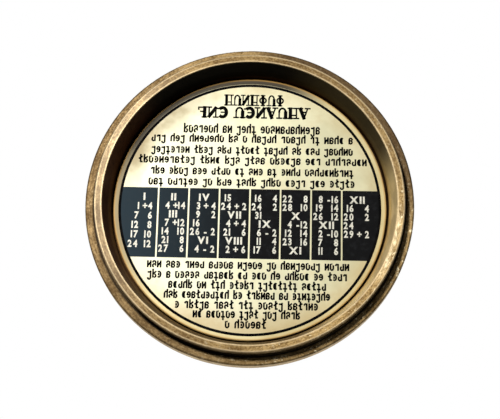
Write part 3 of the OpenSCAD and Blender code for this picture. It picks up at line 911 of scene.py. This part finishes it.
def on_compass(azimuth, radius):
    """Point at an azimuth from north towards east, in radians, about the axis."""
    return Vector((math.sin(azimuth), math.cos(azimuth))) * radius


def write_around(inlay, text, azimuth, foot_r, height, **looks):
    """Writes a number with its foot on a circle and its head away from the axis."""
    write_number(inlay, text, on_compass(azimuth, foot_r), height, turn=-azimuth, **looks)


def hour_angle(hour):
    """Angle of an hour line from north, for hours after noon, at the style's foot."""
    turn = math.radians(15 * hour)
    return math.atan2(math.sin(math.radians(LATITUDE)) * math.sin(turn), math.cos(turn))


def style_foot():
    """Place where the blade's upper edge, carried on, meets the ring's top."""
    rise = BLADE_PIVOT.z - RING_TOP
    return Vector((0.0, BLADE_PIVOT.y - rise / math.tan(math.radians(LATITUDE))))


def on_hour_line(hour, radius):
    """Point where an hour line crosses a circle about the ring's centre."""
    foot = style_foot()
    ahead = on_compass(hour_angle(hour), 1.0)
    along = -foot.dot(ahead) + math.sqrt(foot.dot(ahead) ** 2 - foot.length_squared + radius**2)
    return foot + ahead * along


def hour_ring_marks():
    """Enamel of the hour ring: circles, lines to the quarter hour, and Roman numerals. Noon has no numeral,
    because the north lug stands there."""
    inner_r, scale_r, rim_r, middle_r = 24.0, 28.6, 33.0, 31.1
    numeral_h = 2.1
    inlay = Inlay(on_ring, 0.06)
    for radius, width in ((inner_r, 0.16), (scale_r, 0.12), (rim_r, 0.2)):
        inlay.ring((0, 0), radius, width)
    for quarter in range(-28, 29):
        hour = quarter / 4
        reach = {0: 4.2, 2: 2.2}.get(quarter % 4, 1.3)
        ends = [on_hour_line(hour, scale_r - reach), on_hour_line(hour, scale_r)]
        inlay.stroke(ends, 0.22 if quarter % 4 == 0 else 0.13)
    mornings = zip(range(-1, -8, -1), ["XI", "X", "IX", "VIII", "VII", "VI", "V"])
    afternoons = zip(range(1, 8), ["I", "II", "III", "IIII", "V", "VI", "VII"])
    for hour, numeral in [*mornings, *afternoons]:
        middle = on_hour_line(hour, middle_r)
        azimuth = math.atan2(middle.x, middle.y)
        foot_r = middle_r - numeral_h / 2
        write_around(inlay, numeral, azimuth, foot_r, numeral_h, narrow=0.8, weight=0.03, gap=0.14)
    inlay.piece("hour_ring_marks", "case", "dial_brass", ENAMEL)


# ---- compass card


def on_card(u, v, height):
    """Point on the card, where the ink's foot is sunk in."""
    return (u, v, CARD_TOP - 0.02 + height)


def card_scale(inlay, rim_r):
    """Degree ring: a line each 5 degrees, longer each 10 and 30, with a number each 30."""
    longest = 2.2
    for radius, width in ((rim_r, 0.2), (rim_r - longest, 0.14), (4.2, 0.12)):
        inlay.ring((0, 0), radius, width)
    for step in range(72):
        azimuth = math.radians(5 * step)
        is_main = step % 6 == 0
        reach = longest if is_main else (1.5 if step % 2 == 0 else 1.0)
        ends = [on_compass(azimuth, rim_r - reach), on_compass(azimuth, rim_r)]
        inlay.stroke(ends, 0.16 if is_main else 0.1)
    for degrees in range(0, 360, 30):
        if degrees % 90:
            text, azimuth = str(degrees), math.radians(degrees)
            write_around(inlay, text, azimuth, rim_r - 4.2, 1.3, narrow=0.8, weight=0.01)


def card_star(inlay):
    """Eight-point star: each point has a filled half and an outlined half."""
    waist_r, waist_turn = 3.6, math.radians(22.5)
    middle_r = 3.3
    for step in range(8):
        azimuth = math.radians(45 * step)
        tip = on_compass(azimuth, 14.6 if step % 2 == 0 else 9.6)
        middle = on_compass(azimuth, middle_r)
        inlay.stroke([on_compass(azimuth - waist_turn, waist_r), tip], 0.1)
        waist = on_compass(azimuth + waist_turn, waist_r)
        blunt_tip = tip + (waist - middle) * 0.02
        inlay.strip([middle, tip], [waist, blunt_tip])


def card_print():
    """Printing of the compass card: degree ring, star and the four cardinal letters, north in red."""
    dark = Inlay(on_card, 0.05)
    red = Inlay(on_card, 0.05)
    rim_r = CARD_R - 0.7
    card_scale(dark, rim_r)
    for step, letter in enumerate("NESW"):
        ink = dark if step else red
        write_around(ink, letter, math.radians(90 * step), rim_r - 5.3, 2.6, narrow=0.9, weight=0.03)
    card_star(dark)
    dark.piece("card_print", "case", "card_paper", INK)
    red.piece("card_north", "case", "card_paper", RED_INK)


# ---- gnomon


def blade_scale():
    """Latitude scale on both faces of the blade, read against the bird's beak."""
    outer_r = (BLADE_TOP - BLADE_PIVOT.z) / math.sin(math.radians(LATITUDE)) - 0.5
    first, last = 40, 60
    first_turn = LATITUDE - 8
    for side, name in ((1, "blade_scale_east"), (-1, "blade_scale_west")):

        def on_blade(u, v, height, side=side):
            return (side * (BLADE_FACE - 0.03 + height), BLADE_PIVOT.y + u, BLADE_PIVOT.z + v)

        inlay = Inlay(on_blade, 0.045)
        last_turn = first_turn - (last - first)
        inlay.stroke(arc((0, 0), outer_r + 0.1, last_turn - 1, first_turn + 1, 24), 0.12)
        for degrees in range(first, last + 1):
            angle = math.radians(first_turn - (degrees - first))
            ahead = Vector((math.cos(angle), math.sin(angle)))
            reach = 1.1 if degrees % 5 else 2.0
            inlay.stroke([ahead * (outer_r - reach), ahead * outer_r], 0.14)
            if degrees % 10 == 0:
                at, turn = ahead * (outer_r - 3.4), angle - math.pi / 2
                write_number(inlay, str(degrees), at, 1.3, turn=turn, narrow=0.85 * side)
        inlay.piece(name, "blade", "dial_brass", ENAMEL)


def flat_rim(node, face_x):
    """Edges around the flat face of a CAD node at one x, as pairs of (y, z) points in millimetres."""
    mesh = frame["nodes"][node].data
    on_face = {v.index: v.co / MM for v in mesh.vertices if abs(v.co.x / MM - face_x) < 0.001}
    spots = {index: (round(at.y, 4), round(at.z, 4)) for index, at in on_face.items()}
    triangles = [triangle.vertices for triangle in mesh.polygons]
    return open_edges([[spots[i] for i in t] for t in triangles if all(i in spots for i in t)])


def rim_distance(point, rim):
    """Distance of a point from the nearest edge of a rim."""
    nearest = math.inf
    for a, b in rim:
        along = b - a
        share = max(0.0, min(1.0, (point - a).dot(along) / max(along.length_squared, 1e-9)))
        nearest = min(nearest, (point - a - along * share).length)
    return nearest


def is_inside(point, rim):
    """True where a line from a point crosses the rim an odd number of times."""
    crossings = 0
    for a, b in rim:
        if (a.y > point.y) != (b.y > point.y):
            crossings += point.x < a.x + (b.x - a.x) * (point.y - a.y) / (b.y - a.y)
    return crossings % 2 == 1


WING_ROOT = Vector((12.6, 32.4))
WING_TIP = Vector((21.6, 29.6))
WING_HALF_W = 2.5
WING_H = 0.32
FEATHER_W = 0.95
FEATHER_H = 0.12
EYE = Vector((10.9, 37.4))
EYE_R = 0.75
EYE_H = 0.22


def wing_relief(point):
    """Extra height of the wing, with grooves between the feathers behind its root."""
    reach = (WING_TIP - WING_ROOT).length
    along = (WING_TIP - WING_ROOT) / reach
    across = Vector((-along.y, along.x))
    u = (point - WING_ROOT).dot(along) / reach
    v = (point - WING_ROOT).dot(across)
    if not -0.6 < u < 0.98:
        return 0.0
    half = WING_HALF_W * math.sqrt(max(0.0, 1 - (1.25 * u - 0.2) ** 2))
    if half <= 0.1 or abs(v) >= half:
        return 0.0
    edge = min(1.0, (half - abs(v)) / 0.5)
    feathers = 0.5 + 0.5 * math.cos(2 * math.pi * (v / FEATHER_W + 0.6 * u))
    return WING_H * edge - (FEATHER_H * feathers * edge if u > 0.15 else 0.0)


def eye_relief(point):
    """Extra height of the eye: a dome with a groove around it."""
    away = (point - EYE).length
    if away >= EYE_R:
        return 0.0
    groove = 0.12 if away > 0.6 * EYE_R else 0.0
    return EYE_H * math.cos(away / EYE_R * math.pi / 2) - groove


def grid_points(low, high, rim, spacing):
    """Points in staggered rows over a flat shape's box, away from its rim."""
    points = []
    for row in range(int((high.z - low.z) / spacing)):
        shift = 0.5 if row % 2 else 0.0
        for column in range(int((high.y - low.y) / spacing)):
            spot = Vector((low.y + spacing * (column + shift), low.z + spacing * row))
            if rim_distance(spot, rim) > 0.6 * spacing:
                points.append(spot)
    return points


def flat_mesh(rim, low, high, spacing):
    """Points, triangles and rim of a flat shape that is given by the edges around it."""
    corners = sorted({corner for edge in rim for corner in edge})
    edges = [(corners.index(a), corners.index(b)) for a, b in rim]
    rim = [(Vector(a), Vector(b)) for a, b in rim]
    points = [Vector(corner) for corner in corners] + grid_points(low, high, rim, spacing)
    flat, _, triangles, _, _, _ = delaunay_2d_cdt(points, edges, [], 0, 1e-5)
    triangles = [t for t in triangles if is_inside((flat[t[0]] + flat[t[1]] + flat[t[2]]) / 3, rim)]
    return flat, triangles, rim


def bird_height(point, depth, thick, foot_z):
    """Height of the bird's face over its back: rounded towards the rim, and flat at the feet on the bar."""
    round_w = 1.6
    swell = math.sqrt(max(0.0, 1 - (1 - min(depth / round_w, 1.0)) ** 2))
    body = max(0.0, min(1.0, (point.y - (foot_z + 3.6)) / 1.2))
    height = thick * (0.45 + 0.55 * swell) * body + thick * (1 - body)
    if depth > 0.05 and body > 0:
        height += (wing_relief(point) + eye_relief(point)) * min(1.0, depth / 0.6)
    return height


def bird_half(node, name, side):
    """Half of the bird: a flat back on the bar, and a rounded face with a wing and an eye."""
    low, high = node_box(node)
    back_x = side * min(abs(low.x), abs(high.x))
    flat, triangles, rim = flat_mesh(flat_rim(node, back_x), low, high, 0.28)
    vertices = []
    for point in flat:
        height = bird_height(point, rim_distance(point, rim), high.x - low.x, low.z)
        vertices.append((back_x + side * height, point.x, point.y))
    vertices += [(back_x, p.x, p.y) for p in flat]
    count = len(flat)
    faces = []
    for a, b, c in triangles:
        faces.append((a, b, c))
        faces.append((a + count, c + count, b + count))
    for a, b in open_edges(triangles):
        faces.append((b, a, a + count, b + count))
    piece = add_piece(name, vertices, faces, "bracket", FITTING, 40)
    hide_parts(node)


# ---- camera, light and floor


DISTANCE = 300.0
WARM = (1.0, 0.98, 0.94)
COOL = (0.95, 0.98, 1.0)


def from_below(off_axis_deg, turn_deg):
    """Direction to a place below: degrees off the axis, and a turn about it from west towards north."""
    off_axis, turn = math.radians(off_axis_deg), math.radians(turn_deg)
    flat = math.sin(off_axis)
    return Vector((-flat * math.cos(turn), flat * math.sin(turn), -math.cos(off_axis)))


def photo_camera():
    """Camera below the dial, looking up at its plate, with north at the top of the picture."""
    target = Vector((0.0, 0.0, 0.7))
    away = from_below(17.23, -87.63)
    eye = target + away * DISTANCE
    north = Vector((0, 1, 0))
    right = (-away).cross(north).normalized()
    up = right.cross(-away).normalized()
    aim = target - up * 2.26 + right * 0.14
    back = (eye - aim).normalized()
    side = north.cross(back).normalized()
    data = bpy.data.cameras.new("camera")
    data.sensor_width = 36.0
    data.lens = 95.5
    data.clip_start, data.clip_end = 0.01, 10.0
    camera = add_object("camera", data)
    turn = Matrix((side, back.cross(side), back)).transposed().to_4x4()
    camera.matrix_world = Matrix.Translation(eye * MM) @ turn
    bpy.context.scene.camera = camera
    return camera


def add_light(camera, name, direction, distance, size, power, colour):
    """Round lamp fixed to the camera; direction is from the object, in the camera's axes."""
    data = bpy.data.lights.new(name, "AREA")
    data.shape = "DISK"
    data.size = size * MM
    data.energy = power
    data.color = colour
    lamp = add_object(name, data)
    object_in_camera = Vector((0, 0, -DISTANCE))
    away = Vector(direction).normalized()
    lamp.parent = camera
    lamp.location = (object_in_camera + away * distance) * MM
    lamp.rotation_mode = "QUATERNION"
    lamp.rotation_quaternion = away.to_track_quat("Z", "Y")
    lamp.visible_camera = False
    return lamp


def studio(camera):
    """A small key lamp at the picture's upper left, a faint wide fill, and a lamp that stays below."""
    into_camera = camera.matrix_world.to_3x3().transposed()
    key = into_camera @ from_below(28, 132)
    add_light(camera, "key", key, 420, 80, 1.2, WARM)
    add_light(camera, "fill", (0.6, 0.1, 1.0), 480, 300, 0.14, COOL)
    low = add_light(camera, "low", key, 420, 80, 0.55, WARM)
    bpy.context.view_layer.update()
    place = low.matrix_world.copy()
    low.parent = None
    low.matrix_world = place


def world():
    """White behind the object, soft light from above it and almost none from below."""
    from_z, to_z, below, above = -0.05, 0.6, 0.015, 1.0
    g = Graph("studio", bpy.data.worlds, "OutputWorld")
    axes = g.node("SeparateXYZ", {0: g.node("TexCoord").outputs["Generated"]})
    lit = g.node("Background", {1: g.ramp(axes.outputs[2], from_z, to_z, below, above)})
    seen = g.node("Background", {0: (1, 1, 1, 1), 1: 1.0})
    bpy.context.scene.world = g.end_blend(g.node("LightPath").outputs["Is Camera Ray"], lit, seen)


def floor():
    """Pale floor under the foot ring; it isn't seen from below and throws no shadow."""
    g = Graph("floor")
    colour = g.mix(g.noise(0.02, 3, 0.5), (228.6, 228.6, 227.2), (236.1, 236.1, 234.9))
    pale = g.node("BsdfDiffuse", {0: colour})
    below = g.node("NewGeometry").outputs["Backfacing"]
    width_m, drop_m = 6.0, 0.00005
    bpy.ops.mesh.primitive_plane_add(size=width_m, location=(0, 0, -drop_m))
    sheet = bpy.context.object
    sheet.name = "floor"
    sheet.data.materials.append(g.end_blend(below, pale, g.node("BsdfTransparent")))
    sheet.visible_shadow = False
    sheet.visible_diffuse = False
    sheet.visible_glossy = False


paint_cad_nodes()
circle_line()
table_band()
table_figures()
engraved_rows()
engraved_title()
hour_ring_marks()
card_print()
blade_scale()
bird_half("bird_east", "bird_half_east", 1)
bird_half("bird_west", "bird_half_west", -1)
camera = photo_camera()
studio(camera)
world()
floor()
bpy.context.scene.view_settings.view_transform = "Standard"
